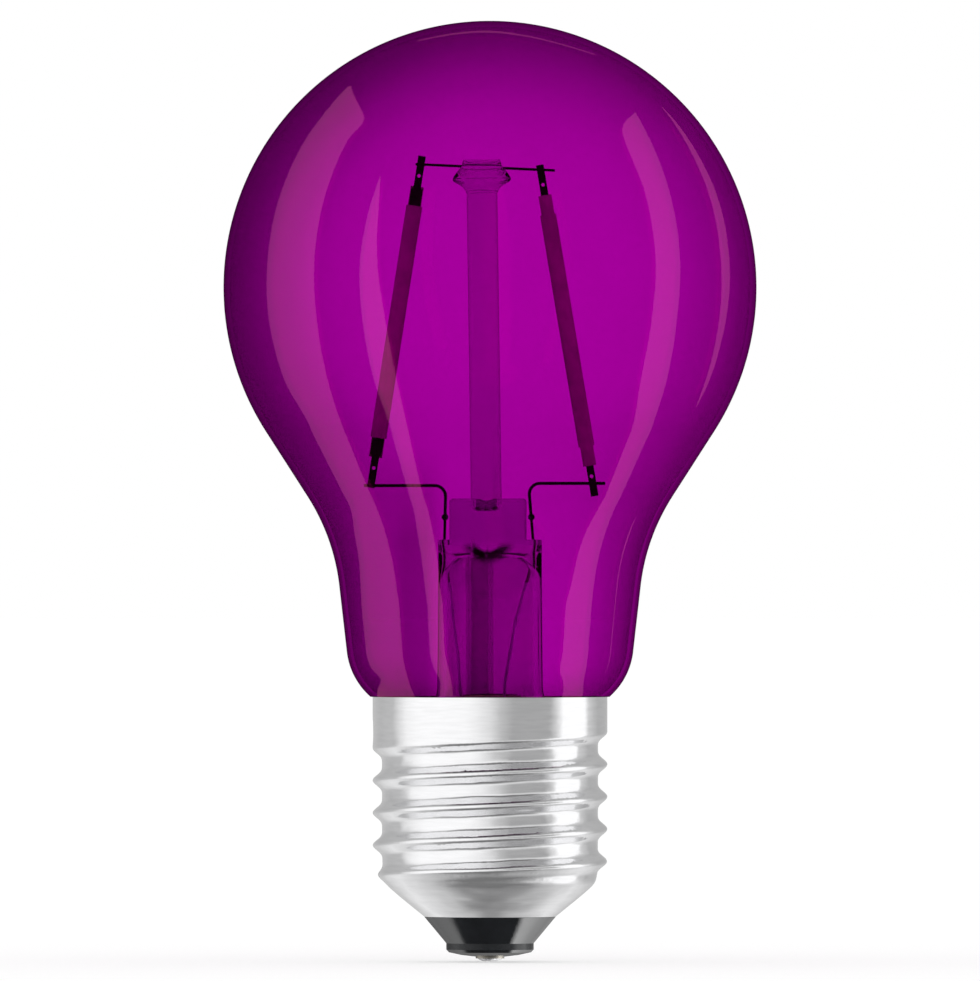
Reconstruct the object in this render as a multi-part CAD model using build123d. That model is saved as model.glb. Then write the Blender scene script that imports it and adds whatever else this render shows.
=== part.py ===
"""Coloured LED filament bulb: A60 glass on an E27 screw cap.

Millimetres. Z runs up the bulb's axis and the tip of the bottom contact is the origin.
The two filaments lie across X, and -Y is the side that the bulb is seen from.
"""
import os
from math import acos, asin, cos, degrees, floor, hypot, pi, radians, sin, sqrt, tan

from build123d import *

# Screw cap
cap_height = 29.6
collar_height = 5.2
shell_wall = 0.3
thread_pitch = 3.629
thread_crest_radius = 13.15
thread_root_radius = 12.1
thread_start = 11.16
thread_crest_sharpness = 2.2
thread_fade = 1.5
crest_start = 3.3
crest_rise = 2.4
shell_foot = 4.95
shell_foot_radius = 7.35
shell_cone_slope = 1.25
shell_cone_blend = 0.8
insulator_tip_radius = 4.9
insulator_tip_rise = 0.8
insulator_land = 0.7
insulator_base = 0.5
insulator_depth = 3.6
contact_radius = 1.6
contact_thickness = 0.2
eyelet_bore = 0.8
eyelet_wall = 0.3
eyelet_length = 2.2
solder_flat_radius = 0.7
solder_plug = 1.2
seat_gap = 0.05

# Bulb glass
bulb_top = 105.3
globe_radius = 29.85
flank_angle = 32.7
waist_radius = 23.5
neck_taper = 6.5
neck_radius = 16.04
shoulder_radius = 7.9
shoulder_height = 5.05
glass_wall = 0.7
seal_radius = 11.9
seal_depth = 3.2
rim_wall = 0.8

# Glass stem
flare_wall = 1.0
flare_foot_radius = 5.9
flare_top_radius = 5.8
flare_curve = 4.5
flare_height = 13.7
pinch_blend = 2.8
pinch_rise = 3.3
pinch_width = 11.6
pinch_thickness = 4.2
pinch_land = 0.6
head_width = 8.65
head_thickness = 3.6
head_height = 4.6
head_offset = -0.22
vent_radius = 1.7
exhaust_radius = 1.55
exhaust_bore = 0.95
exhaust_offset = -1.15
exhaust_drop = 7.7
post_radius = 1.72
post_seat = 1.4
post_offset = -0.4
post_lean = 0.8
button_top_radius = 2.05
button_radius = 3.25
button_height = 3.8

# Wires
lead_radius = 0.18
knot_radius = 0.38
seal_wire_radius = 0.16
bridge_radius = 0.15
wire_gap = 0.03
lead_rise = 1.45
lead_bend = 1.2
route_bend = 3.0
knot_rise = 2.3
left_lead_end = -14.1
left_lead_drop = 0.0
left_route = [(-4.95, None), (-5.1, 17.4), (-4.7, 14.8), (-4.23, 9.3), (-3.58, 4.8), (-3.33, 0.3)]
right_lead_end = 12.9
right_lead_drop = 0.25
right_route = [(4.3, None), (4.85, 17.2), (4.6, 15.0), (3.73, 11.7), (2.83, 8.3), (1.65, 1.4)]
route_height = 17.6

# Filaments
filament_length = 37.6
left_top = -7.75
left_foot = -13.33
left_top_spare = 0.95
left_foot_spare = 0.25
right_top = 5.66
right_foot = 11.5
right_top_spare = 0.55
right_foot_spare = 1.45
strip_width = 0.9
strip_thickness = 0.4
strip_grip = 1.2
tab_width = 0.85
tab_thickness = 0.25
tab_length = 3.7
tab_hole_radius = 0.2
tab_hole_place = 2.25
ferrule_width = 1.3
ferrule_thickness = 0.9
ferrule_length = 1.9
coating_width = 1.8
coating_thickness = 1.7
coating_overlap = 2.2
chip_count = 24
chip_length = 0.7
chip_width = 0.4
chip_height = 0.15

# Driver in the cap
board_radius = 11.45
board_thickness = 1.0
board_drop = 10.1
capacitor_radius = 3.15
capacitor_length = 7.0
capacitor_place = (5.6, 1.4)
fuse_radius = 1.2
fuse_length = 5.8
fuse_lead_radius = 0.25
package_length = 4.8
package_width = 3.9
package_height = 1.5
rectifier_place = (-6.8, 2.9)
regulator_place = (-5.2, 2.2)
neutral_radius = 0.25
neutral_step = 2.8

# Heights and radii that follow from these
thread_top = cap_height - collar_height
seal_height = cap_height - seal_depth
flare_top = cap_height + flare_height
blend_low = flare_top - pinch_blend
bore_top = flare_top + pinch_rise / 2
pinch_top = flare_top + pinch_rise + pinch_land
head_top = pinch_top + head_height
lead_height = head_top + lead_rise
thread_end = thread_top + thread_fade
neutral_angle = 360 * ((thread_end - thread_start) / thread_pitch - 0.5)
board_height = cap_height - board_drop
board_top = board_height + board_thickness
exhaust_tip_height = cap_height - exhaust_drop
collar_bore = thread_crest_radius - shell_wall
filament_plane = -(lead_radius + wire_gap + tab_thickness / 2)


class Side:
    """Where one filament and its wires lie. The route is its lead's run, as X and height above the cap."""

    def __init__(self, sign, lead_end, lead_drop, top_x, foot_x, top_spare, foot_spare, route):
        self.sign = sign
        self.lead_end = lead_end
        self.lead_drop = lead_drop
        self.foot_x = foot_x
        self.foot_spare = foot_spare
        self.route = route
        self.span = filament_length - top_spare - foot_spare
        self.tilt = degrees(asin((top_x - foot_x) / self.span))
        self.foot_z = lead_height + lead_drop
        self.top = (top_x, self.foot_z + self.span * cos(radians(self.tilt)))


LEFT = Side(-1, left_lead_end, left_lead_drop, left_top, left_foot, left_top_spare, left_foot_spare, left_route)
RIGHT = Side(1, right_lead_end, right_lead_drop, right_top, right_foot, right_top_spare, right_foot_spare,
             right_route)


def revolved(outline):
    """A solid of revolution from a closed outline of edges in the XZ plane."""
    return revolve(make_face(Plane.XZ * outline), Axis.Z)


def turned(points):
    """A solid of revolution from corner points given as radius and height."""
    return revolved(Polyline(*points, close=True))


def smooth_step(low, high, value):
    """Zero below low, one above high and an easy slope between."""
    share = min(1.0, max(0.0, (value - low) / (high - low)))
    return share * share * (3 - 2 * share)


def shell_base(height, inset):
    """Radius of the shell at the thread's root, with the cone at its foot."""
    cone = shell_foot_radius + (height - shell_foot) * shell_cone_slope
    cone -= inset * hypot(1, shell_cone_slope)
    root = thread_root_radius - inset
    return (cone + root - hypot(cone - root, shell_cone_blend)) / 2


def shell_radius(turn, height, inset):
    """Radius of the rolled shell at a share of a turn and a height."""
    along = (height - thread_start) / thread_pitch - turn
    groove_height = thread_start + (floor(along) + 0.5 + turn) * thread_pitch
    groove = 1 - ((1 + cos(2 * pi * along)) / 2) ** thread_crest_sharpness
    groove *= 1 - smooth_step(thread_top, thread_end, groove_height)
    crest = smooth_step(shell_foot + crest_start, shell_foot + crest_start + crest_rise, height)
    depth = thread_crest_radius - thread_root_radius
    return shell_base(height, inset) + depth * crest * (1 - groove)


def shell_skin(inset):
    """One side of the shell, lofted through level sections, with its two end faces."""
    around = 36
    levels = 82
    shares = [i / around for i in range(around + 1)]
    sections = []
    for level in range(levels + 1):
        height = shell_foot + (cap_height - shell_foot) * level / levels
        points = []
        for turn in shares[:-1]:
            radius = shell_radius(turn, height, inset)
            points.append((radius * cos(2 * pi * turn), radius * sin(2 * pi * turn), height))
        sections.append(Wire([Edge.make_spline(points, periodic=True, parameters=shares)]))
    return Solid.make_loft(sections).faces().sort_by(Axis.Z)


def screw_shell():
    """E27 cap of thin sheet with its thread rolled in, so that the inside follows the outside."""
    outer_foot, outer_side, outer_rim = shell_skin(0)
    inner_foot, inner_side, inner_rim = shell_skin(shell_wall)
    foot = Face(outer_foot.outer_wire(), [inner_foot.outer_wire()])
    rim = Face(outer_rim.outer_wire(), [inner_rim.outer_wire()])
    return Solid(Shell([outer_side, inner_side, foot, rim]))


def insulator():
    """Black glass cone that holds the shell's foot and the contact apart."""
    bore = eyelet_bore + eyelet_wall + seat_gap
    tip = insulator_base + insulator_tip_rise
    outline = [(bore, insulator_base), (contact_radius + seat_gap, insulator_base)]
    outline.append((insulator_tip_radius * 0.65, insulator_base + insulator_tip_rise * 0.22))
    outline.append((insulator_tip_radius * 0.94, insulator_base + insulator_tip_rise * 0.6))
    outline += [(insulator_tip_radius, tip), (insulator_tip_radius, tip + insulator_land)]
    outline.append((shell_foot_radius, shell_foot))
    levels = 6
    for level in range(levels + 1):
        height = shell_foot + insulator_depth * level / levels
        outline.append((shell_base(height, shell_wall + seat_gap), height))
    outline.append((bore, shell_foot + insulator_depth))
    return turned(outline)


def centre_contact():
    """Brass eyelet pressed into the insulator."""
    face = insulator_base - contact_thickness
    shank = eyelet_bore + eyelet_wall
    end = insulator_base + eyelet_length
    outline = [(eyelet_bore, face), (contact_radius, face), (contact_radius, insulator_base)]
    outline += [(shank, insulator_base), (shank, end), (eyelet_bore, end)]
    return turned(outline)


def contact_solder():
    """Solder bead that closes the eyelet round the fuse's lead and ends the cap."""
    face = insulator_base - contact_thickness
    bead_radius = contact_radius - 0.2
    plug_radius = eyelet_bore - 0.02
    bead = Polyline((0, 0), (solder_flat_radius, 0))
    bead += ThreePointArc((solder_flat_radius, 0), ((solder_flat_radius + bead_radius) / 2, face * 0.3),
                          (bead_radius, face))
    bead += Polyline((bead_radius, face), (plug_radius, face), (plug_radius, insulator_base + solder_plug),
                     (0, insulator_base + solder_plug), (0, 0))
    lead_hole = Pos(0, 0, insulator_base) * Cylinder(fuse_lead_radius + wire_gap, 4,
                                                     align=(Align.CENTER, Align.CENTER, Align.MIN))
    return revolved(bead) - lead_hole


def arc(centre, radius, start, end):
    """An arc in the outline's plane from one angle to another, in degrees from the X axis."""
    middle = radians((start + end) / 2)
    ends = [radians(start), radians(end)]
    points = [(centre[0] + radius * cos(a), centre[1] + radius * sin(a)) for a in (ends[0], middle, ends[1])]
    return ThreePointArc(*points)


def waist_centre(radius):
    """Centre of the hollow curve of a radius that touches both the flank and the neck."""
    flank = radians(flank_angle)
    taper = radians(neck_taper)
    globe_z = bulb_top - globe_radius
    neck_z = cap_height + shoulder_height
    flank_reach = globe_radius - globe_z * sin(flank) + radius
    neck_reach = neck_radius * cos(taper) - neck_z * sin(taper) + radius
    spread = sin(flank - taper)
    return ((neck_reach * sin(flank) - flank_reach * sin(taper)) / spread,
            (neck_reach * cos(flank) - flank_reach * cos(taper)) / spread)


def waist_curve():
    """Radius of the hollow waist, which a short neck or flank limits."""
    half_turn = radians(flank_angle - neck_taper) / 2
    corner_x, corner_z = waist_centre(0)
    neck_room = (corner_z - cap_height - shoulder_height) / cos(radians(neck_taper))
    flank_top = bulb_top - globe_radius - globe_radius * sin(radians(flank_angle))
    flank_room = (flank_top - corner_z) / cos(radians(flank_angle))
    return min(waist_radius, 0.99 * min(neck_room, flank_room) / tan(half_turn))


def bulb_centres():
    """Centres of the globe, the waist's hollow curve and the neck's round shoulder."""
    taper = radians(neck_taper)
    neck_z = cap_height + shoulder_height
    shoulder = (neck_radius - shoulder_radius * cos(taper), neck_z + shoulder_radius * sin(taper))
    return (0, bulb_top - globe_radius), waist_centre(waist_curve()), shoulder


def bulb_outline(inset, shoulder_end):
    """Tangent curves from the crown to the shoulder's end angle, set in by inset."""
    globe, waist, shoulder = bulb_centres()
    crown = arc(globe, globe_radius - inset, 90, -flank_angle)
    hollow = arc(waist, waist_curve() + inset, 180 - flank_angle, 180 - neck_taper)
    bend = arc(shoulder, shoulder_radius - inset, -neck_taper, -shoulder_end)
    return crown + Line(crown @ 1, hollow @ 0) + hollow + Line(hollow @ 1, bend @ 0) + bend, bend @ 1


def glass_envelope():
    """Blown bulb with one wall all over, and a narrower neck that drops into the cap."""
    shoulder = bulb_centres()[2]
    bore = seal_radius - rim_wall
    outer, ledge = bulb_outline(0, degrees(asin((shoulder[1] - cap_height) / shoulder_radius)))
    inner_end = degrees(acos((bore - shoulder[0]) / (shoulder_radius - glass_wall)))
    inner, inner_foot = bulb_outline(glass_wall, inner_end)
    edges = outer + inner + Line((0, bulb_top), (0, bulb_top - glass_wall))
    edges += Polyline(ledge, (seal_radius, cap_height), (seal_radius, seal_height),
                      (bore, seal_height), inner_foot)
    return revolved(edges)


def flattened(radius, width, thickness, low, high, corner):
    """A round bar that flattens smoothly to an oval. Its corner keeps the sides straight until the top."""
    sections = [Pos(0, 0, low) * Circle(radius)]
    steps = 5
    for step in range(1, steps + 1):
        share = step / steps
        across = radius + (width / 2 - radius) * share ** corner
        deep = radius + (thickness / 2 - radius) * smooth_step(0, 1, share)
        sections.append(Pos(0, 0, low + (high - low) * share) * Ellipse(across, deep))
    return loft(sections)


def flare_body():
    """The flare's tube and trumpet foot, solid, below the pinch."""
    rim_low = seal_height - rim_wall
    curve_edge = flare_foot_radius + flare_curve
    curve_top = seal_height + flare_curve
    turn = flare_curve * sqrt(0.5)
    outer = Polyline((0, rim_low), (seal_radius, rim_low), (seal_radius, seal_height), (curve_edge, seal_height))
    outer += ThreePointArc((curve_edge, seal_height), (curve_edge - turn, curve_top - turn),
                           (flare_foot_radius, curve_top))
    outer += Polyline((flare_foot_radius, curve_top), (flare_top_radius, blend_low), (0, blend_low), (0, rim_low))
    return revolved(outer)


def flare_bore():
    """The hollow of the flare, one wall inside it."""
    rim_low = seal_height - rim_wall
    foot = flare_foot_radius - flare_wall
    top = flare_top_radius - flare_wall
    curve = flare_curve + flare_wall - 0.2
    turn = curve * sqrt(0.5)
    curve_top = rim_low + curve
    hollow = Line((0, rim_low), (foot + curve, rim_low))
    hollow += ThreePointArc((foot + curve, rim_low), (foot + curve - turn, curve_top - turn), (foot, curve_top))
    hollow += Polyline((foot, curve_top), (top, blend_low), (0, blend_low), (0, rim_low))
    dome = flattened(top, top * 1.45, exhaust_radius * 2 + 0.4, blend_low, bore_top, 4)
    return revolved(hollow) + dome


def stem_flare():
    """Flare tube pinched flat round the lead wires, with the head that carries the post."""
    land_low = flare_top + pinch_rise
    body = flare_body() + flattened(flare_top_radius, pinch_width, pinch_thickness, blend_low, land_low, 1)
    body += extrude(Pos(0, 0, land_low) * Ellipse(pinch_width / 2, pinch_thickness / 2), amount=pinch_land)
    head = Pos(head_offset, 0, pinch_top - pinch_land) * Box(head_width, head_thickness, head_height + pinch_land,
                                                            align=(Align.CENTER, Align.CENTER, Align.MIN))
    head = fillet(head.edges().filter_by(Axis.Z), head_thickness * 0.3)
    head = fillet(head.edges().group_by(Axis.Z)[-1], head_thickness * 0.12)
    body = body + head - flare_bore()
    vent_height = pinch_top + 0.1
    vent = Pos(head_offset, 0, vent_height) * Rot(90, 0, 0) * Cylinder(
        vent_radius, pinch_thickness, align=(Align.CENTER, Align.CENTER, Align.MIN))
    vent += Pos(exhaust_offset, 0, vent_height - vent_radius) * Cylinder(exhaust_bore, pinch_rise)
    body = body - vent - post_blank(wire_gap)
    for side in (LEFT, RIGHT):
        body = body - seal_wire(side, seal_wire_radius + wire_gap)
    return body


def exhaust_tube():
    """Pumping tube, fused under the pinch at the top and drawn to a closed tip in the cap."""
    top = bore_top - seat_gap
    tip = exhaust_radius * 1.6
    outline = [(exhaust_bore, top), (exhaust_radius, top), (exhaust_radius, exhaust_tip_height + tip)]
    outline += [(exhaust_radius * 0.35, exhaust_tip_height), (0, exhaust_tip_height)]
    outline += [(0, exhaust_tip_height + tip * 0.6), (exhaust_bore, exhaust_tip_height + tip * 1.3)]
    return Pos(exhaust_offset, 0, 0) * turned(outline)


def post_frame():
    """Place of the post's foot in the head, leaned as the post leans."""
    return Pos(post_offset, 0, head_top - post_seat) * Rot(0, -post_lean, 0)


def post_blank(clearance):
    """The post's plain rod with its rounded foot, grown by a clearance."""
    radius = post_radius + clearance
    rod = Pos(0, 0, -clearance) * Cylinder(radius, button_place() - button_height,
                                           align=(Align.CENTER, Align.CENTER, Align.MIN))
    rod = fillet(rod.edges().group_by(Axis.Z)[0], post_radius * 0.45)
    return post_frame() * rod


def button_place():
    """Height of the button's flat top above the post's foot."""
    bridge_middle = (LEFT.top[1] + RIGHT.top[1]) / 2
    return bridge_middle - head_top + post_seat + 0.85


def stem_post():
    """Glass rod whose melted top, the button, holds the bridge wire."""
    top = button_place()
    widest = top - button_height * 0.58
    outline = Polyline((0, top - button_height * 1.1), (post_radius, top - button_height * 1.1),
                       (post_radius, top - button_height))
    melted = [(post_radius, top - button_height), (button_radius, widest)]
    melted += [(button_top_radius + 0.35, top - 0.9), (button_top_radius, top)]
    outline += Spline(*melted, tangents=[(0.3, 1), (-0.3, 1)])
    outline += Polyline((button_top_radius, top), (0, top), (0, top - button_height * 1.1))
    button = post_frame() * revolved(outline)
    return post_blank(0) + button - bridge_wire(bridge_radius + wire_gap)


def wire_along(points, radii, radius):
    """A round wire along straight runs in the XZ plane, joined by tangent arcs."""
    spots = [Vector(x, 0, z) for x, z in points]
    path = FilletPolyline(*spots, radius=radii) if len(spots) > 2 else Line(*spots)
    return sweep(Plane(origin=path @ 0, z_dir=path % 0) * Circle(radius), path=path)


def bridge_wire(radius):
    """Wire through the button that joins the tops of both filaments."""
    left_x, left_z = LEFT.top
    right_x, right_z = RIGHT.top
    slope = (left_z - right_z) / (left_x - right_x)
    ends = [(left_x - 0.6, left_z - 0.6 * slope), (right_x + 1.6, right_z + 1.6 * slope)]
    return wire_along(ends, None, radius)


def route_points(side):
    """Corners of a lead's route: free end, bend, and the run down through the stem."""
    bend_x = side.route[0][0]
    corners = [(side.lead_end, side.foot_z), (bend_x, side.foot_z)]
    stretch = (pinch_top - cap_height) / route_height
    corners += [(x, cap_height + rise * stretch) for x, rise in side.route[1:]]
    return corners


def between(start, end, height):
    """The point at a height on the line between two points."""
    share = (height - start[1]) / (end[1] - start[1])
    return (start[0] + (end[0] - start[0]) * share, height)


def lead_wire(side):
    """Stiff inner lead from the filament's foot to the welded knot above the pinch."""
    corners = route_points(side)
    knot = between(corners[1], corners[2], pinch_top + knot_rise)
    wire = wire_along([corners[0], corners[1], knot], [lead_bend], lead_radius)
    weld = Pos(knot[0], 0, knot[1] + knot_radius * 0.6) * Sphere(knot_radius)
    return wire + weld - seal_wire(side, seal_wire_radius)


def seal_wire(side, radius):
    """Thin wire through the pinch, from the knot to the hollow of the flare."""
    corners = route_points(side)
    knot = between(corners[1], corners[2], pinch_top + knot_rise)
    joint = between(corners[3], corners[4], flare_top - flare_wall)
    return wire_along([knot, corners[2], corners[3], joint], [route_bend, route_bend], radius)


def outer_lead(side):
    """Lead from the pinch down the flare to the driver board."""
    corners = route_points(side)
    joint = between(corners[3], corners[4], flare_top - flare_wall)
    foot = (corners[-1][0], board_top)
    points = [joint] + corners[4:] + [foot]
    return wire_along(points, [route_bend] * (len(points) - 2), seal_wire_radius)


def filament_frame(side):
    """Place of a filament's lower end, tilted, with the left one turned back to front."""
    tilt = Rot(0, side.tilt, 0)
    place = Pos(side.foot_x, filament_plane, side.foot_z)
    return place * tilt * Pos(0, 0, -side.foot_spare) * Rot(0, 0, 0 if side.sign > 0 else 180)


def filament_strip(side):
    """Ceramic strip that carries the chips, gripped by a ferrule at each end."""
    grip = tab_length + ferrule_length - strip_grip
    strip = Pos(0, 0, grip) * Box(strip_width, strip_thickness, filament_length - 2 * grip,
                                  align=(Align.CENTER, Align.CENTER, Align.MIN))
    return filament_frame(side) * strip


def chip_row():
    """Row of diode chips on the strip's front face, in the filament's own frame."""
    room = filament_length - 2 * (tab_length + ferrule_length)
    spacing = room / chip_count
    depth = -strip_thickness / 2 - chip_height / 2
    chip = Box(chip_width, chip_height, chip_length)
    first = tab_length + ferrule_length + spacing / 2
    return [Pos(0, depth, first + spacing * i) * chip for i in range(chip_count)]


def led_chips(side):
    """The blue diodes of one filament."""
    return Compound(children=[filament_frame(side) * chip for chip in chip_row()])


def phosphor_coating(side):
    """Silicone round the strip, which also covers the front of both ferrules."""
    ends = tab_length + ferrule_length + seat_gap
    section = SlotOverall(coating_width, coating_thickness) if coating_width > coating_thickness else Circle(
        coating_width / 2)
    body = Pos(0, 0, ends) * extrude(section, amount=filament_length - 2 * ends)
    front = Rectangle(coating_width, coating_thickness / 2 - ferrule_thickness / 2 - seat_gap,
                      align=(Align.CENTER, Align.MAX))
    lip = section & Pos(0, -ferrule_thickness / 2 - seat_gap) * front
    lip_end = ends - coating_overlap
    body += Pos(0, 0, lip_end) * extrude(lip, amount=filament_length - 2 * lip_end)
    standing = (Align.CENTER, Align.CENTER, Align.MIN)
    gaps = 2 * wire_gap
    body -= Box(strip_width + gaps, strip_thickness + gaps, filament_length, align=standing)
    room = filament_length - 2 * ends
    depth = -strip_thickness / 2 - chip_height / 2
    body -= Pos(0, depth, ends) * Box(chip_width + gaps, chip_height + gaps, room, align=standing)
    return filament_frame(side) * body


def terminal(side, at_top):
    """Plated tab with its hole and the ferrule that is closed on the strip's end."""
    tab = Box(tab_width, tab_thickness, tab_length + 0.3, align=(Align.CENTER, Align.CENTER, Align.MIN))
    tab = tab - Pos(0, 0, tab_hole_place) * Rot(90, 0, 0) * Cylinder(tab_hole_radius, tab_thickness * 2)
    ferrule = Pos(0, 0, tab_length) * Box(ferrule_width, ferrule_thickness, ferrule_length,
                                         align=(Align.CENTER, Align.CENTER, Align.MIN))
    slot = Pos(0, 0, tab_length + ferrule_length - strip_grip - wire_gap) * Box(
        strip_width + 2 * wire_gap, strip_thickness + 2 * wire_gap, strip_grip * 2,
        align=(Align.CENTER, Align.CENTER, Align.MIN))
    piece = tab + ferrule - slot
    if at_top:
        piece = Pos(0, 0, filament_length) * Rot(0, 180, 0) * piece
    return filament_frame(side) * piece


def neutral_wire(radius):
    """Wire from the board's edge up between the cement and the cap."""
    outer = collar_bore - neutral_radius - seat_gap
    inner = outer - neutral_step
    start = board_top + neutral_step * 0.4
    points = [(inner, board_top), (inner, start), (outer, start + neutral_step), (outer, cap_height - 1.0)]
    return Rot(0, 0, neutral_angle) * wire_along(points, [0.8, 0.8], radius)


def cap_cement():
    """Ring of cement between the bulb's neck and the cap's collar."""
    inner = seal_radius + seat_gap
    outer = collar_bore - seat_gap
    foot = thread_end + thread_pitch * 0.3
    ring = turned([(inner, foot), (outer, foot), (outer, cap_height - 0.3), (inner, cap_height - 0.3)])
    return ring - neutral_wire(neutral_radius + wire_gap)


def driver_board():
    """Round circuit board across the cap."""
    board = Cylinder(board_radius, board_thickness, align=(Align.CENTER, Align.CENTER, Align.MIN))
    return Pos(0, 0, board_height) * board


def chip_package(length, width, height):
    """Moulded package with a row of bent legs along both long sides, standing on its legs."""
    body = Pos(0, 0, 0.1) * Box(length, width, height - 0.1, align=(Align.CENTER, Align.CENTER, Align.MIN))
    leg = Box(0.6, 0.9, 0.2, align=(Align.CENTER, Align.MIN, Align.MIN))
    leg += Pos(0, 0, 0.2) * Box(0.6, 0.2, height * 0.3, align=(Align.CENTER, Align.MIN, Align.MIN))
    for place in (-length / 4, length / 4):
        body += Pos(place, width / 2 - 0.1, 0) * leg
        body += Pos(place, 0.1 - width / 2, 0) * Rot(0, 0, 180) * leg
    return body


def bridge_rectifier():
    """Rectifier on the board's upper face."""
    return Pos(*rectifier_place, board_top) * chip_package(package_length, package_width, package_height)


def current_regulator():
    """Constant-current chip on the board's lower face."""
    package = chip_package(package_length, package_width, package_height)
    return Pos(*regulator_place, board_height) * Rot(180, 0, 0) * package


def smoothing_capacitor():
    """Electrolytic can under the board, with its crimp groove and two short legs."""
    top = board_height - 0.6
    foot = top - capacitor_length
    groove = 0.25
    outline = [(0, foot), (capacitor_radius, foot), (capacitor_radius, top - 1.6)]
    outline += [(capacitor_radius - groove, top - 1.3), (capacitor_radius, top - 1.0)]
    outline += [(capacitor_radius, top), (0, top)]
    can = turned(outline)
    for place in (-1.25, 1.25):
        leg = Cylinder(0.25, board_height - top, align=(Align.CENTER, Align.CENTER, Align.MIN))
        can += Pos(place, 0, top) * leg
    return Pos(*capacitor_place, 0) * can


def fuse_resistor():
    """Fusible resistor that hangs between the board and the centre contact on its own leads."""
    low = insulator_base + 0.2
    middle = (shell_foot + insulator_depth + board_height) / 2
    body = Pos(0, 0, middle) * Cylinder(fuse_radius, fuse_length)
    body = fillet(body.edges().filter_by(GeomType.CIRCLE), fuse_radius * 0.35)
    lead = Cylinder(fuse_lead_radius, board_height - low, align=(Align.CENTER, Align.CENTER, Align.MIN))
    return body + Pos(0, 0, low) * lead


def all_pieces():
    """Every piece of the bulb by name."""
    pieces = {
        "glass_envelope": glass_envelope(),
        "stem_flare": stem_flare(),
        "exhaust_tube": exhaust_tube(),
        "stem_post": stem_post(),
        "bridge_wire": bridge_wire(bridge_radius),
        "screw_shell": screw_shell(),
        "insulator": insulator(),
        "centre_contact": centre_contact(),
        "contact_solder": contact_solder(),
        "cap_cement": cap_cement(),
        "driver_board": driver_board(),
        "bridge_rectifier": bridge_rectifier(),
        "current_regulator": current_regulator(),
        "smoothing_capacitor": smoothing_capacitor(),
        "fuse_resistor": fuse_resistor(),
        "neutral_wire": neutral_wire(neutral_radius),
    }
    for name, side in (("left", LEFT), ("right", RIGHT)):
        pieces["lead_wire_" + name] = lead_wire(side)
        pieces["seal_wire_" + name] = seal_wire(side, seal_wire_radius)
        pieces["outer_lead_" + name] = outer_lead(side)
        pieces["filament_strip_" + name] = filament_strip(side)
        pieces["led_chips_" + name] = led_chips(side)
        pieces["phosphor_coating_" + name] = phosphor_coating(side)
        pieces["top_terminal_" + name] = terminal(side, True)
        pieces["foot_terminal_" + name] = terminal(side, False)
    return pieces


os.makedirs("parts", exist_ok=True)
for node, shape in all_pieces().items():
    export_step(shape, "parts/" + node + ".step")
    print(node, round(shape.volume, 2))
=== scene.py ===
"""Looks of the coloured LED filament bulb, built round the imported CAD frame."""
from math import acos, asin, cos, pi, radians, sin

import bpy
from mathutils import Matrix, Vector


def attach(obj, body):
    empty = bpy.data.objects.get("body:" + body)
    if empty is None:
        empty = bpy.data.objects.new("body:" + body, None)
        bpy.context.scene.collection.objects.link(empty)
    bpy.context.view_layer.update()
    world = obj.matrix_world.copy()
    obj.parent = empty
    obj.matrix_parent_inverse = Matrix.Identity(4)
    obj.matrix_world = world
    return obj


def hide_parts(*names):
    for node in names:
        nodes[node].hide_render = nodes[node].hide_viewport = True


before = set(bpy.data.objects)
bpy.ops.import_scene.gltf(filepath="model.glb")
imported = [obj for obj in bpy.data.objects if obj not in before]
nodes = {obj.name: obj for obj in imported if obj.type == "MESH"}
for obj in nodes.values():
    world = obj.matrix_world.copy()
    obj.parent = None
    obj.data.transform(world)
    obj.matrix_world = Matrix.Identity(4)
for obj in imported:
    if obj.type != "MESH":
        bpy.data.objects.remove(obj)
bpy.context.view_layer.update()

# Bulb glass, repeated from part.py in millimetres
bulb_top = 105.3
globe_radius = 29.85
flank_angle = radians(32.7)
waist_radius = 23.5
neck_taper = radians(6.5)
neck_radius = 16.04
shoulder_radius = 7.9
shoulder_height = 5.05
cap_height = 29.6
glass_wall = 0.7
seal_radius = 11.9
seal_height = 26.4
rim_wall = 0.8

# Steps of the turned glass: round it, down its globe, and through each of its other bends
around = 192
globe_steps = 110
bend_steps = 24

# The view of the photograph, in metres
view_distance = 3.0
view_width = 0.10987
view_height = 0.0527

# Stage, in metres
lamp_centre = Vector((0, 0, 0.055))
surround_distance = 2.0
band_distance = 2.5
floor_reach = 8.0
floor_drop = 0.0001

# Rows and columns of a strip light, radiance of the strips and of the arc, and tone and glow of the floor
band_rows = 72
band_columns = 8
band_radiance = 1.5
arc_radiance = 0.9
floor_grey = 0.45
floor_glow = 0.56


def new_material(name):
    """An empty node material with its output node."""
    made = bpy.data.materials.new(name)
    made.use_nodes = True
    made.node_tree.nodes.clear()
    output = made.node_tree.nodes.new("ShaderNodeOutputMaterial")
    return made, made.node_tree.nodes, made.node_tree.links, output


def placed(name, content):
    """A new object of a mesh or camera, in the scene."""
    made = bpy.data.objects.new(name, content)
    bpy.context.scene.collection.objects.link(made)
    return made


def reckoned(tree, links, operation, first, second):
    """Result of a sum on two values, each a plain number or the output of a node."""
    made = tree.new("ShaderNodeMath")
    made.operation = operation
    for socket, value in zip(made.inputs, (first, second)):
        if isinstance(value, float):
            socket.default_value = value
        else:
            links.new(value, socket)
    return made.outputs[0]


def scaled(tree, links, colour, factor):
    """A colour times a value."""
    made = tree.new("ShaderNodeVectorMath")
    made.operation = "SCALE"
    links.new(colour, made.inputs[0])
    links.new(factor, made.inputs["Scale"])
    return made.outputs[0]


def mixed(tree, links, share, first, second):
    """Two shaders mixed by the share of the second."""
    made = tree.new("ShaderNodeMixShader")
    for socket, value in zip(made.inputs, (share, first, second)):
        links.new(value, socket)
    return made.outputs[0]


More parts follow.
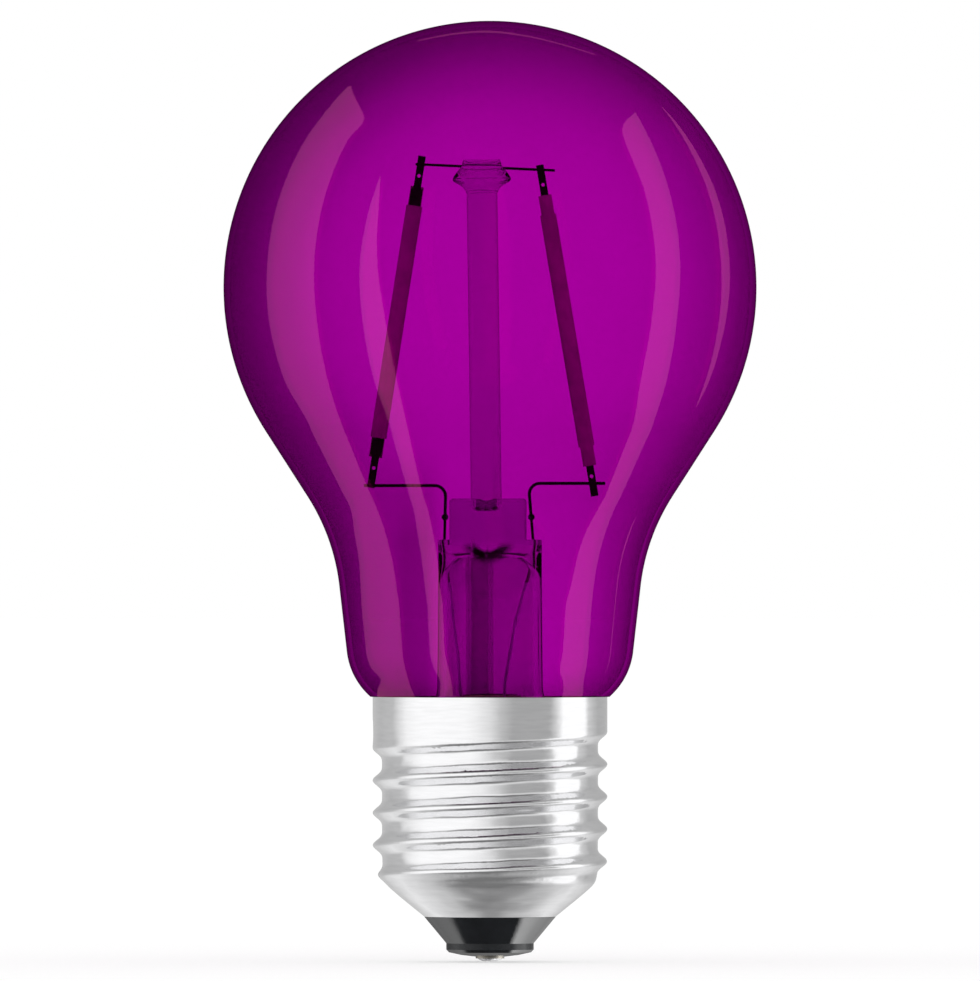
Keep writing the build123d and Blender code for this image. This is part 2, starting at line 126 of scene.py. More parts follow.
def object_place(tree, links):
    """The X, Y and Z of a place on the object, in metres."""
    place = tree.new("ShaderNodeTexCoord")
    apart = tree.new("ShaderNodeSeparateXYZ")
    links.new(place.outputs["Object"], apart.inputs[0])
    return apart.outputs


def ramp(tree, stops, interpolation="EASE"):
    """A colour ramp with stops of place and colour."""
    made = tree.new("ShaderNodeValToRGB")
    made.color_ramp.interpolation = interpolation
    for index, (place, colour) in enumerate(stops):
        if index < 2:
            element = made.color_ramp.elements[index]
            element.position = place
        else:
            element = made.color_ramp.elements.new(place)
        element.color = (*colour, 1)
    return made


def noise(tree, links, scale, detail, stretch=(1, 1, 1)):
    """A noise value on the object's own coordinates, in features per metre."""
    place = tree.new("ShaderNodeTexCoord")
    mapping = tree.new("ShaderNodeMapping")
    mapping.inputs["Scale"].default_value = stretch
    links.new(place.outputs["Object"], mapping.inputs["Vector"])
    made = tree.new("ShaderNodeTexNoise")
    made.inputs["Scale"].default_value = scale
    made.inputs["Detail"].default_value = detail
    links.new(mapping.outputs[0], made.inputs["Vector"])
    return made.outputs["Fac"]


def spread(tree, links, value, low, high, start=0.3, end=0.7):
    """A value mapped to another range, from the usual range of noise or from a given one."""
    made = tree.new("ShaderNodeMapRange")
    made.inputs["From Min"].default_value = start
    made.inputs["From Max"].default_value = end
    made.inputs["To Min"].default_value = low
    made.inputs["To Max"].default_value = high
    links.new(value, made.inputs["Value"])
    return made.outputs[0]


def bumped(tree, links, height, distance, under=None):
    """A bump normal from a height value, on top of another normal."""
    made = tree.new("ShaderNodeBump")
    made.inputs["Distance"].default_value = distance
    made.inputs["Strength"].default_value = 1.0
    links.new(height, made.inputs["Height"])
    if under is not None:
        links.new(under, made.inputs["Normal"])
    return made.outputs[0]


def worked(name, colours, roughness, patch, grain, depth, metallic=0.0, stretch=(1, 1, 1), **values):
    """A Principled finish: two colours in patches, a range of roughness and a fine grain in its relief."""
    made, tree, links, output = new_material(name)
    shader = tree.new("ShaderNodeBsdfPrincipled")
    shader.inputs["Metallic"].default_value = metallic
    for key, value in values.items():
        shader.inputs[key.replace("_", " ")].default_value = value
    blotches = noise(tree, links, patch, 4.0, stretch)
    fine = noise(tree, links, grain, 3.0, stretch)
    tone = ramp(tree, [(0.35, colours[0]), (0.65, colours[1])])
    links.new(blotches, tone.inputs[0])
    links.new(tone.outputs[0], shader.inputs["Base Color"])
    links.new(spread(tree, links, fine, *roughness), shader.inputs["Roughness"])
    links.new(bumped(tree, links, fine, depth), shader.inputs["Normal"])
    links.new(shader.outputs[0], output.inputs["Surface"])
    return made


def gloss_share(tree, links, facing):
    """Share of light that a surface of the bulb mirrors, by how far it turns away."""
    power = reckoned(tree, links, "POWER", facing, SHARE_POWER)
    return spread(tree, links, power, SHARE_LOW, SHARE_HIGH, 0.0, 1.0)


def warped_normal(tree, links):
    """The surface's normal, turned aside where the neck's glass is uneven."""
    place = object_place(tree, links)
    front = reckoned(tree, links, "MULTIPLY", place["Y"], -1.0)
    turn = reckoned(tree, links, "ARCTAN2", place["X"], front)
    along = spread(tree, links, turn, 0.0, 1.0, -pi, pi)
    stops = [((t + 180) / 360, ((w + WARP_LIMIT) / (2 * WARP_LIMIT),) * 3) for t, w in NECK_WARP]
    warp = ramp(tree, stops, "LINEAR")
    links.new(along, warp.inputs[0])
    limit = radians(WARP_LIMIT)
    aside = spread(tree, links, warp.outputs[0], -limit, limit, 0.0, 1.0)
    neck = spread(tree, links, place["Z"], 1.0, 0.0, *NECK_WARP_FADE)
    surface = tree.new("ShaderNodeNewGeometry")
    turned = tree.new("ShaderNodeVectorRotate")
    turned.rotation_type = "Z_AXIS"
    links.new(surface.outputs["Normal"], turned.inputs["Vector"])
    links.new(reckoned(tree, links, "MULTIPLY", aside, neck), turned.inputs["Angle"])
    return turned.outputs[0]


def seen_through(tree, links, colour, share, output):
    """Mixes clear glass of a colour with its gloss and gives the surface to the output."""
    through = tree.new("ShaderNodeBsdfTransparent")
    if isinstance(colour, tuple):
        through.inputs["Color"].default_value = colour
    else:
        links.new(colour, through.inputs["Color"])
    gloss = tree.new("ShaderNodeBsdfGlossy")
    gloss.inputs["Color"].default_value = GLOSS
    waves = noise(tree, links, 45.0, 1.0)
    links.new(bumped(tree, links, waves, 0.00004, warped_normal(tree, links)), gloss.inputs["Normal"])
    specks = noise(tree, links, 900.0, 3.0)
    links.new(spread(tree, links, specks, 0.012, 0.035), gloss.inputs["Roughness"])
    glass = mixed(tree, links, share, through.outputs[0], gloss.outputs[0])
    links.new(glass, output.inputs["Surface"])


# Purple glass: colour of its gloss, and light that comes through the middle of the bulb
GLOSS = (0.68, 0.13, 0.30, 1)
CENTRE = (0.371, 0.0, 0.328)

# Share of light that it mirrors face on and edge on, and how late the share grows between them
SHARE_LOW, SHARE_HIGH = 0.09, 0.34
SHARE_POWER = 5.0

# Turn from the eye beyond which the line of sight stays within the wall and misses the inner face
GRAZING = 0.78

# Light through the coat against that of the middle, by its turn from the eye, on the left and on the right:
# deeper edge on, where the line of sight runs longer through the coat, and darker on the left as painted
# shade
SHADED_SIDE = [(0, 1), (0.046, 1), (0.134, 0.93), (0.2, 0.86), (0.24, 0.81), (0.296, 0.70), (0.339, 0.62),
              (0.414, 0.52), (0.473, 0.42), (0.564, 0.33), (0.659, 0.27), (0.77, 0.25), (0.79, 0.24),
              (0.859, 0.17), (1, 0.07)]
LIT_SIDE = [(0, 1), (0.134, 0.98), (0.24, 0.92), (0.313, 0.85), (0.383, 0.75), (0.462, 0.67),
             (0.564, 0.545), (0.66, 0.42), (0.77, 0.38), (0.79, 0.37), (0.859, 0.26), (1, 0.1)]

# X where the side with painted shade starts to give way to the lit side and where it ends, in metres
SHADE_TO_LIT_SPAN = (-0.015, 0.025)

# Painted shade on the left of the neck: the share of light kept there, by X in millimetres
NECK_SHADE = [(-16, 1.0), (-14, 0.96), (-11, 0.82), (-9.5, 0.73), (-7.2, 0.74), (-5.8, 0.88), (-4.6, 0.97),
             (0, 0.97)]

# Heights in metres between which that painted shade fades out
NECK_SHADE_FADE = (0.047, 0.058)

# How far the neck's uneven glass turns its gloss aside, by turn from the front, in degrees
NECK_WARP = [(-180, 0), (-115, 0), (-90, 6), (-60, 3.5), (-48, 0), (-37, -3.3), (-25, -3.8), (-18, -4.8),
             (-5, -2), (5, 0), (20, 4), (30, 7.3), (43, 1.6), (50, 0), (56.5, 0), (58, 9), (90, 9),
             (115, 0), (180, 0)]

# Largest turn that the table can hold, in degrees, and heights in metres between which the warp fades out
WARP_LIMIT = 10
NECK_WARP_FADE = (0.040, 0.052)


def tint_stops(table):
    """Colour of one crossing of the coat, so that two crossings and the mirroring give the wanted light."""
    stops = []
    for facing, light in table:
        share = SHARE_LOW + (SHARE_HIGH - SHARE_LOW) * facing ** SHARE_POWER
        passed = (1 - share) ** (4 if facing < GRAZING else 2)
        stops.append((facing, tuple((light * c / passed) ** 0.5 for c in CENTRE)))
    return stops


def tinted_glass():
    """Outer face of the bulb: a clear purple coat that deepens where it is seen edge on, under a gloss,
    with painted shade on its left side and on the left of its neck.
    """
    made, tree, links, output = new_material("tinted_glass")
    facing = tree.new("ShaderNodeLayerWeight")
    facing.inputs["Blend"].default_value = 0.5
    tones = []
    for table in (SHADED_SIDE, LIT_SIDE):
        tone = ramp(tree, tint_stops(table), "LINEAR")
        links.new(facing.outputs["Facing"], tone.inputs[0])
        tones.append(tone.outputs[0])
    place = object_place(tree, links)
    # Painted shade: the left side of the bulb is set darker than the right
    lit_share = spread(tree, links, place["X"], 0.0, 1.0, *SHADE_TO_LIT_SPAN)
    coat = tree.new("ShaderNodeMix")
    coat.data_type = "RGBA"
    links.new(lit_share, coat.inputs["Factor"])
    links.new(tones[0], coat.inputs["A"])
    links.new(tones[1], coat.inputs["B"])
    clouds = spread(tree, links, noise(tree, links, 60.0, 3.0), 0.985, 1.015)
    cloudy = scaled(tree, links, coat.outputs["Result"], clouds)
    # Painted shade: a darker patch on the left of the neck, fading out above it
    reach = -NECK_SHADE[0][0]
    shade_by_x = ramp(tree, [((x + reach) / reach, (t, t, t)) for x, t in NECK_SHADE], "LINEAR")
    links.new(spread(tree, links, place["X"], 0.0, 1.0, -reach / 1000, 0.0), shade_by_x.inputs[0])
    neck_shade = tree.new("ShaderNodeMix")
    neck_shade.data_type = "RGBA"
    neck_shade.inputs["B"].default_value = (1, 1, 1, 1)
    links.new(spread(tree, links, place["Z"], 0.0, 1.0, *NECK_SHADE_FADE), neck_shade.inputs["Factor"])
    links.new(shade_by_x.outputs[0], neck_shade.inputs["A"])
    shaded_coat = tree.new("ShaderNodeVectorMath")
    shaded_coat.operation = "MULTIPLY"
    links.new(cloudy, shaded_coat.inputs[0])
    links.new(neck_shade.outputs["Result"], shaded_coat.inputs[1])
    share = gloss_share(tree, links, facing.outputs["Facing"])
    seen_through(tree, links, shaded_coat.outputs[0], share, output)
    return made


def clear_glass():
    """Inner face of the bulb: clear glass under the same gloss."""
    made, tree, links, output = new_material("clear_glass")
    facing = tree.new("ShaderNodeLayerWeight")
    facing.inputs["Blend"].default_value = 0.5
    share = gloss_share(tree, links, facing.outputs["Facing"])
    seen_through(tree, links, (1.0, 1.0, 1.0, 1.0), share, output)
    return made


def height_tones(tree, links, rows):
    """A colour by height in the object: rows of height in millimetres and colour."""
    place = object_place(tree, links)
    low, high = rows[0][0], rows[-1][0]
    along = spread(tree, links, place["Z"], 0.0, 1.0, low / 1000, high / 1000)
    tones = ramp(tree, [((height - low) / (high - low), colour) for height, colour in rows], "LINEAR")
    links.new(along, tones.inputs[0])
    return tones.outputs[0]


def blown_shade(tree, links, x, z, radius):
    """Painted shade: a dark crescent on the lower lip of the hole that was blown through for the pumping
    tube.
    """
    place = object_place(tree, links)
    flat = tree.new("ShaderNodeCombineXYZ")
    links.new(place["X"], flat.inputs["X"])
    links.new(place["Z"], flat.inputs["Z"])
    away = tree.new("ShaderNodeVectorMath")
    away.operation = "DISTANCE"
    away.inputs[1].default_value = (x, 0, z)
    links.new(flat.outputs[0], away.inputs[0])
    inner = spread(tree, links, away.outputs["Value"], 0.0, 1.0, radius - 0.0005, radius - 0.0001)
    outer = spread(tree, links, away.outputs["Value"], 1.0, 0.0, radius + 0.0005, radius + 0.0014)
    below = spread(tree, links, place["Z"], 1.0, 0.0, z - 0.0013, z - 0.0003)
    ring = reckoned(tree, links, "MULTIPLY", inner, outer)
    lip = reckoned(tree, links, "MULTIPLY", ring, below)
    return spread(tree, links, lip, 1.0, 0.03, 0.0, 1.0)


def stem_glass(name, rows, hole=None):
    """Clear drawn glass of the stem, which bends what is seen through it, with faint lines along its draw.

    The rows give its tone by height, darker at some heights than at others."""
    made, tree, links, output = new_material(name)
    glass = tree.new("ShaderNodeBsdfPrincipled")
    glass.inputs["IOR"].default_value = 1.5
    glass.inputs["Transmission Weight"].default_value = 1.0
    cords = noise(tree, links, 700.0, 2.0, (1, 1, 0.08))
    tone = scaled(tree, links, height_tones(tree, links, rows), spread(tree, links, cords, 0.94, 1.0))
    # Painted shade on the lower lip of the blown hole
    if hole:
        tone = scaled(tree, links, tone, blown_shade(tree, links, *hole))
    links.new(tone, glass.inputs["Base Color"])
    links.new(spread(tree, links, cords, 0.0, 0.05), glass.inputs["Roughness"])
    links.new(bumped(tree, links, cords, 0.00002), glass.inputs["Normal"])
    clear = tree.new("ShaderNodeBsdfTransparent")
    clear.inputs["Color"].default_value = (0.85, 0.85, 0.85, 1)
    path = tree.new("ShaderNodeLightPath")
    surface = mixed(tree, links, path.outputs["Is Shadow Ray"], glass.outputs[0], clear.outputs[0])
    links.new(surface, output.inputs["Surface"])
    return made


def cap_metal():
    """Nickel plate on rolled sheet: soft dents from the rollers, fine lines round it and small scuffs."""
    made, tree, links, output = new_material("cap_metal")
    shader = tree.new("ShaderNodeBsdfPrincipled")
    shader.inputs["Metallic"].default_value = 1.0
    dents = noise(tree, links, 170.0, 1.5, (1, 1, 2.0))
    lines = noise(tree, links, 500.0, 3.0, (0.3, 0.3, 6))
    scuffs = noise(tree, links, 900.0, 4.0, (0.35, 0.35, 3))
    tone = ramp(tree, [(0.3, (0.84, 0.84, 0.85)), (0.7, (0.89, 0.89, 0.90))])
    links.new(scuffs, tone.inputs[0])
    links.new(tone.outputs[0], shader.inputs["Base Color"])
    links.new(spread(tree, links, scuffs, 0.07, 0.15), shader.inputs["Roughness"])
    place = object_place(tree, links)
    below_collar = spread(tree, links, place["Z"], 1.0, 0.12, 0.0235, 0.0255)
    rolled = reckoned(tree, links, "MULTIPLY", dents, below_collar)
    relief = bumped(tree, links, rolled, 0.0003)
    relief = bumped(tree, links, lines, 0.000004, relief)
    links.new(relief, shader.inputs["Normal"])
    links.new(shader.outputs[0], output.inputs["Surface"])
    return made


def arc(centre, radius, start, end, count):
    """Points of an arc in radius and height, by angle from the radial axis."""
    angles = [start + (end - start) * i / count for i in range(count + 1)]
    return [(centre[0] + radius * cos(a), centre[1] + radius * sin(a)) for a in angles]


def bulb_outline(inset, shoulder_end):
    """Crown, flank, hollow waist, neck and shoulder of one surface of the bulb."""
    globe_z = bulb_top - globe_radius
    neck_z = cap_height + shoulder_height
    flank_reach = globe_radius - globe_z * sin(flank_angle) + waist_radius
    neck_reach = neck_radius * cos(neck_taper) - neck_z * sin(neck_taper) + waist_radius
    fan = sin(flank_angle - neck_taper)
    waist = ((neck_reach * sin(flank_angle) - flank_reach * sin(neck_taper)) / fan,
             (neck_reach * cos(flank_angle) - flank_reach * cos(neck_taper)) / fan)
    shoulder = (neck_radius - shoulder_radius * cos(neck_taper), neck_z + shoulder_radius * sin(neck_taper))
    points = arc((0, globe_z), globe_radius - inset, pi / 2, -flank_angle, globe_steps)
    points += arc(waist, waist_radius + inset, pi - flank_angle, pi - neck_taper, bend_steps)
    points += arc(shoulder, shoulder_radius - inset, -neck_taper, -shoulder_end(shoulder), bend_steps)
    return points


def lathe(name, outline):
    """A smooth closed piece turned from radii and heights in millimetres that start and end on the axis."""
    verts, faces, rings = [], [], []
    for radius, height in outline:
        if radius < 1e-6:
            rings.append([len(verts)])
            verts.append((0, 0, height / 1000))
        else:
            rings.append(list(range(len(verts), len(verts) + around)))
            for i in range(around):
                angle = 2 * pi * i / around
                verts.append((radius * cos(angle) / 1000, radius * sin(angle) / 1000, height / 1000))
    for low, high in zip(rings, rings[1:]):
        for i in range(around):
            j = (i + 1) % around
            if len(low) == 1:
                faces.append((low[0], high[i], high[j]))
            elif len(high) == 1:
                faces.append((low[i], high[0], low[j]))
            else:
                faces.append((low[i], high[i], high[j], low[j]))
    mesh = bpy.data.meshes.new(name)
    mesh.from_pydata(verts, [], faces)
    mesh.validate()
    mesh.polygons.foreach_set("use_smooth", [True] * len(mesh.polygons))
    mesh.set_sharp_from_angle(angle=radians(40))
    return placed(name, mesh)


def is_inside(middle, normal):
    """Whether a face of the bulb looks towards its hollow."""
    globe = Vector((0, 0, bulb_top - globe_radius))
    away = middle - globe if middle.z > globe.z else Vector((middle.x, middle.y, 0))
    return away.dot(normal) < 0


def bulb_glass(outer_face, inner_face):
    """The blown bulb with its two surfaces, one wall apart."""
    bore = seal_radius - rim_wall
    outer = bulb_outline(0, lambda c: asin((c[1] - cap_height) / shoulder_radius))
    inner = bulb_outline(glass_wall, lambda c: acos((bore - c[0]) / (shoulder_radius - glass_wall)))
    outside = [(0, bulb_top)] + outer[1:] + [(seal_radius, cap_height), (seal_radius, seal_height)]
    inside = [(bore, seal_height)] + inner[::-1][:-1] + [(0, bulb_top - glass_wall)]
    piece = lathe("bulb_glass", outside + inside)
    piece.data.materials.append(outer_face)
    piece.data.materials.append(inner_face)
    for face in piece.data.polygons:
        face.material_index = 1 if is_inside(face.center * 1000, face.normal) else 0
    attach(piece, "root")
    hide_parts("glass_envelope")
    return piece


def direction(azimuth, elevation):
    """Unit vector by azimuth from the camera's side towards the right, and by elevation, in degrees."""
    a, e = radians(azimuth), radians(elevation)
    return Vector((sin(a) * cos(e), -cos(a) * cos(e), sin(e)))


# Strip lights mirrored in the glass: slope of the glass, with the turns of both edges, in degrees
BANDS = {
    "left_panel": [(49, -52.6, -51), (39.5, -54.1, -37), (33, -55.3, -39), (20, -56.2, -40.6),
                   (5, -56.4, -41), (-6.5, -56.2, -40.5), (-20, -55, -40.2), (-32.7, -52.7, -40.3),
                   (-50, -66, -41)],
    "left_strip": [(24.5, -26.5, -26.3), (20, -27.3, -25.8), (16, -28, -25.5), (5, -29, -24.8),
                   (-6.5, -28.6, -23.2), (-20, -27.5, -21.8), (-32.7, -26, -21.3), (-50, -28.5, -22.4)],
    "right_panel": [(41, 45, 45.3), (35.3, 36.8, 45.2), (20, 37.9, 45.5), (5, 38.2, 45.3),
                    (-6.5, 37.4, 44.6), (-20, 36.9, 44.8), (-32.7, 39, 45.7), (-50, 41, 50)],
    "right_back_strip": [(43, 59.5, 60), (38, 60, 61.7), (30, 60, 63.1), (20, 60.4, 64.3), (10, 60, 64),
                         (0, 59.8, 63.4), (-10, 59.5, 62.2), (-18.8, 59.4, 61.3), (-26, 59.6, 59.9)],
}

# Light round the cap by direction: azimuths across, one row of radiances for each elevation
AZIMUTHS = [-180, -135, -111, -100, -90, -76, -50, -24, -12, 0, 11, 23, 61, 68, 77, 92, 107, 114, 133, 180]
CAP_SURROUND = {
    -90: [0.18] * len(AZIMUTHS),
    -75: [0.30, 0.30, 0.28, 0.27, 0.24, 0.2, 0.18, 0.18, 0.18, 0.18, 0.18, 0.18, 0.18, 0.2, 0.22, 0.25,
          0.28, 0.30, 0.30, 0.30],
    -65: [0.55, 0.52, 0.5, 0.46, 0.36, 0.24, 0.18, 0.18, 0.18, 0.18, 0.18, 0.18, 0.18, 0.2, 0.28, 0.34,
          0.38, 0.42, 0.42, 0.5],
    -50: [0.7, 0.7, 0.68, 0.64, 0.6, 0.55, 0.48, 0.4, 0.3, 0.25, 0.25, 0.25, 0.33, 0.42, 0.5, 0.56, 0.6,
          0.6, 0.62, 0.66],
    -34: [0.9, 0.85, 0.8, 0.92, 1.02, 1.08, 1.08, 1.06, 1.04, 1.0, 0.9, 0.8, 0.8, 0.95, 1.12, 1.12, 1.12,
          0.95, 0.8, 0.9],
    -14: [0.6, 0.52, 0.54, 0.8, 1.0, 1.08, 1.08, 1.06, 0.95, 0.8, 0.56, 0.42, 0.42, 0.65, 1.14, 1.16, 1.14,
          0.65, 0.46, 0.6],
    14: [0.45, 0.45, 0.52, 0.8, 1.0, 1.08, 1.08, 1.06, 0.95, 0.8, 0.54, 0.39, 0.39, 0.65, 1.14, 1.16, 1.14,
         0.65, 0.42, 0.45],
    36: [0.5, 0.5, 0.56, 0.8, 1.0, 1.08, 1.08, 1.06, 1.04, 1.0, 0.9, 0.8, 0.8, 0.95, 1.12, 1.12, 1.12, 0.7,
         0.5, 0.5],
    52: [0.4, 0.4, 0.4, 0.5, 0.5, 0.4, 0.3, 0.25, 0.2, 0.2, 0.2, 0.2, 0.2, 0.3, 0.4, 0.5, 0.5, 0.5, 0.4,
         0.4],
    90: [0.15] * len(AZIMUTHS),
}

# The same round the end of the cap
END_SURROUND = {
    -90: [0.05] * len(AZIMUTHS),
    -63: [0.05] * len(AZIMUTHS),
    -57: [0.6, 0.6, 0.1, 0.06, 0.05, 0.05, 0.05, 0.05, 0.05, 0.05, 0.05, 0.05, 0.05, 0.05, 0.5, 3.2, 3.4,
          3.2, 2.2, 0.9],
    -48: [0.6, 1.0, 1.2, 0.8, 0.3, 0.1, 0.05, 0.05, 0.05, 0.05, 0.05, 0.05, 0.05, 0.05, 0.5, 3.2, 3.4, 3.2,
          2.0, 0.9],
    -24: [0.3, 0.6, 0.9, 0.8, 0.5, 0.4, 0.3, 0.2, 0.1, 0.1, 0.1, 0.1, 0.3, 0.8, 1.5, 2.0, 2.0, 1.6, 1.2,
          0.3],
    0: [0.1, 0.15, 0.4, 0.5, 0.5, 0.4, 0.3, 0.2, 0.15, 0.15, 0.15, 0.15, 0.3, 0.6, 1.0, 1.0, 1.0, 0.5, 0.2,
        0.1],
    90: [0.4] * len(AZIMUTHS),
}

# Elevation beyond which a row would close to a point
STEEPEST = 89.5

# Thin light over the crown: slope and turn of one edge, then of the other, in degrees
TOP_ARC = [(66.8, -43, 67.8, -43), (70.8, -22, 72.2, -22), (71.8, 1, 73.3, 1), (68.4, 26, 69.6, 26),
           (60.2, 52, 61.2, 52)]

# Count of clear surfaces behind which a strip light is dark, also in the far wall of the bulb
NEAR_WALL_DEPTH = 5.5


def light_sheet(name, radiance):
    """A glowing sheet that lets other light through; its strength is plain, or read from the mesh.

    A plain one is mirrored in the near wall of the bulb alone, and not through it in the far wall."""
    made, tree, links, output = new_material(name)
    light = tree.new("ShaderNodeEmission")
    if radiance is None:
        level = tree.new("ShaderNodeAttribute")
        level.attribute_name = "glow"
        links.new(level.outputs["Fac"], light.inputs["Strength"])
    else:
        path = tree.new("ShaderNodeLightPath")
        near = reckoned(tree, links, "LESS_THAN", path.outputs["Transparent Depth"], NEAR_WALL_DEPTH)
        links.new(reckoned(tree, links, "MULTIPLY", near, radiance), light.inputs["Strength"])
    through = tree.new("ShaderNodeBsdfTransparent")
    both = tree.new("ShaderNodeAddShader")
    links.new(light.outputs[0], both.inputs[0])
    links.new(through.outputs[0], both.inputs[1])
    links.new(both.outputs[0], output.inputs["Surface"])
    return made


def grid_faces(rows, columns):
    """Faces over a grid of points that are listed row by row."""
    faces = []
    for row in range(rows - 1):
        for column in range(columns - 1):
            corner = row * columns + column
            faces.append((corner, corner + 1, corner + columns + 1, corner + columns))
    return faces


def hang_light(name, verts, columns, radiance, receivers):
    """A sheet of light over rows of points, seen only in the gloss of its receivers."""
    mesh = bpy.data.meshes.new(name)
    mesh.from_pydata([tuple(v) for v in verts], [], grid_faces(len(verts) // columns, columns))
    mesh.materials.append(light_sheet(name, radiance))
    piece = placed(name, mesh)
    for ray in ("camera", "diffuse", "transmission", "volume_scatter", "shadow"):
        setattr(piece, "visible_" + ray, False)
    piece.light_linking.receiver_collection = receivers
    return piece


def surround(name, table, receivers):
    """A light tent round the object: rows by elevation of radiance by azimuth."""
    verts, glows = [], []
    for elevation in sorted(table):
        limited = max(-STEEPEST, min(STEEPEST, elevation))
        for azimuth, glow in zip(AZIMUTHS, table[elevation]):
            verts.append(lamp_centre + direction(azimuth, limited) * surround_distance)
            glows.append(glow)
    piece = hang_light(name, verts, len(AZIMUTHS), None, receivers)
    layer = piece.data.attributes.new("glow", "FLOAT", "POINT")
    layer.data.foreach_set("value", glows)


def mirrored_direction(turn, slope):
    """Where a place of the bulb mirrors the camera's line to, by its normal's turn and slope in degrees."""
    normal = direction(turn, slope)
    sight = Vector((0, 1, 0))
    return sight - 2 * sight.dot(normal) * normal


def smooth_rows(table, count):
    """Rows between those of a table, on a smooth curve through its values."""
    rows = []
    last = len(table) - 1
    for i in range(count + 1):
        at = i / count * last
        k = min(int(at), last - 1)
        u = at - k
        a, b, c, d = (table[max(0, min(last, j))] for j in (k - 1, k, k + 1, k + 2))
        rows.append([0.5 * (2 * q + (r - p) * u + (2 * p - 5 * q + 4 * r - t) * u ** 2
                            + (3 * q - p - 3 * r + t) * u ** 3) for p, q, r, t in zip(a, b, c, d)])
    return rows


def light_band(name, table, radiance, receivers):
    """A bent strip light: rows of slope and turn of both edges of the band of glass that mirrors it."""
    verts = []
    for slope_a, turn_a, slope_b, turn_b in smooth_rows(table, band_rows):
        for column in range(band_columns + 1):
            share = column / band_columns
            slope = slope_a + (slope_b - slope_a) * share
            turn = turn_a + (turn_b - turn_a) * share
            verts.append(lamp_centre + mirrored_direction(turn, slope) * band_distance)
    hang_light(name, verts, band_columns + 1, radiance, receivers)


def group(name, pieces):
    """A collection that a light is linked to."""
    made = bpy.data.collections.new(name)
    for piece in pieces:
        made.objects.link(piece)
    return made


def studio_world():
    """White behind the object and in what lights it, and nearly dark in its gloss."""
    world = bpy.data.worlds.new("studio")
    world.use_nodes = True
    bpy.context.scene.world = world
    tree, links = world.node_tree.nodes, world.node_tree.links
    tree.clear()
    output = tree.new("ShaderNodeOutputWorld")
    seen = tree.new("ShaderNodeBackground")
    seen.inputs["Color"].default_value = (1, 1, 1, 1)
    seen.inputs["Strength"].default_value = 1.0
    mirrored = tree.new("ShaderNodeBackground")
    mirrored.inputs["Color"].default_value = (1, 1, 1, 1)
    mirrored.inputs["Strength"].default_value = 0.02
    path = tree.new("ShaderNodeLightPath")
    glossy, bent = path.outputs["Is Glossy Ray"], path.outputs["Is Transmission Ray"]
    reflected = reckoned(tree, links, "GREATER_THAN", glossy, bent)
    surface = mixed(tree, links, reflected, seen.outputs[0], mirrored.outputs[0])
    links.new(surface, output.inputs["Surface"])


def studio_floor():
    """Pale floor that renders white and keeps the bulb's shadow, and is seen from above only."""
    mesh = bpy.data.meshes.new("studio_floor")
    corners = [(-1, -1), (1, -1), (1, 1), (-1, 1)]
    mesh.from_pydata([(x * floor_reach, y * floor_reach, 0) for x, y in corners], [], [(0, 1, 2, 3)])
    floor = placed("studio_floor", mesh)
    floor.location.z = -floor_drop
    made, tree, links, output = new_material("studio_floor")
    matt = tree.new("ShaderNodeBsdfDiffuse")
    matt.inputs["Color"].default_value = (floor_grey, floor_grey, floor_grey, 1)
    glow = tree.new("ShaderNodeEmission")
    path = tree.new("ShaderNodeLightPath")
    direct, bent = path.outputs["Is Camera Ray"], path.outputs["Is Transmission Ray"]
    seen = reckoned(tree, links, "MAXIMUM", direct, bent)
    links.new(reckoned(tree, links, "MULTIPLY", seen, floor_glow), glow.inputs["Strength"])
    add = tree.new("ShaderNodeAddShader")
    links.new(matt.outputs[0], add.inputs[0])
    links.new(glow.outputs[0], add.inputs[1])
    surface = tree.new("ShaderNodeNewGeometry")
    clear = tree.new("ShaderNodeBsdfTransparent")
    sided = mixed(tree, links, surface.outputs["Backfacing"], add.outputs[0], clear.outputs[0])
    links.new(sided, output.inputs["Surface"])
    mesh.materials.append(made)
    floor.visible_glossy = False
    floor.visible_shadow = False


# Tones of the stem's glass by height in millimetres
STEM_TONES = [(26, (0.76, 0.70, 0.76)), (36, (0.80, 0.76, 0.80)), (44.5, (0.80, 0.76, 0.80)),
              (47.5, (0.56, 0.50, 0.58)), (52, (0.60, 0.54, 0.62))]
POST_TONES = [(50, (0.66, 0.62, 0.66)), (60, (0.70, 0.66, 0.70)), (86, (0.72, 0.68, 0.72)),
              (90, (0.78, 0.74, 0.78))]
TUBE_TONES = [(26, (0.60, 0.54, 0.60)), (45, (0.70, 0.64, 0.70))]

# Hole blown through the stem's head: its X, its height and its radius, in metres
STEM_HOLE = (-0.00022, 0.0473, 0.0017)

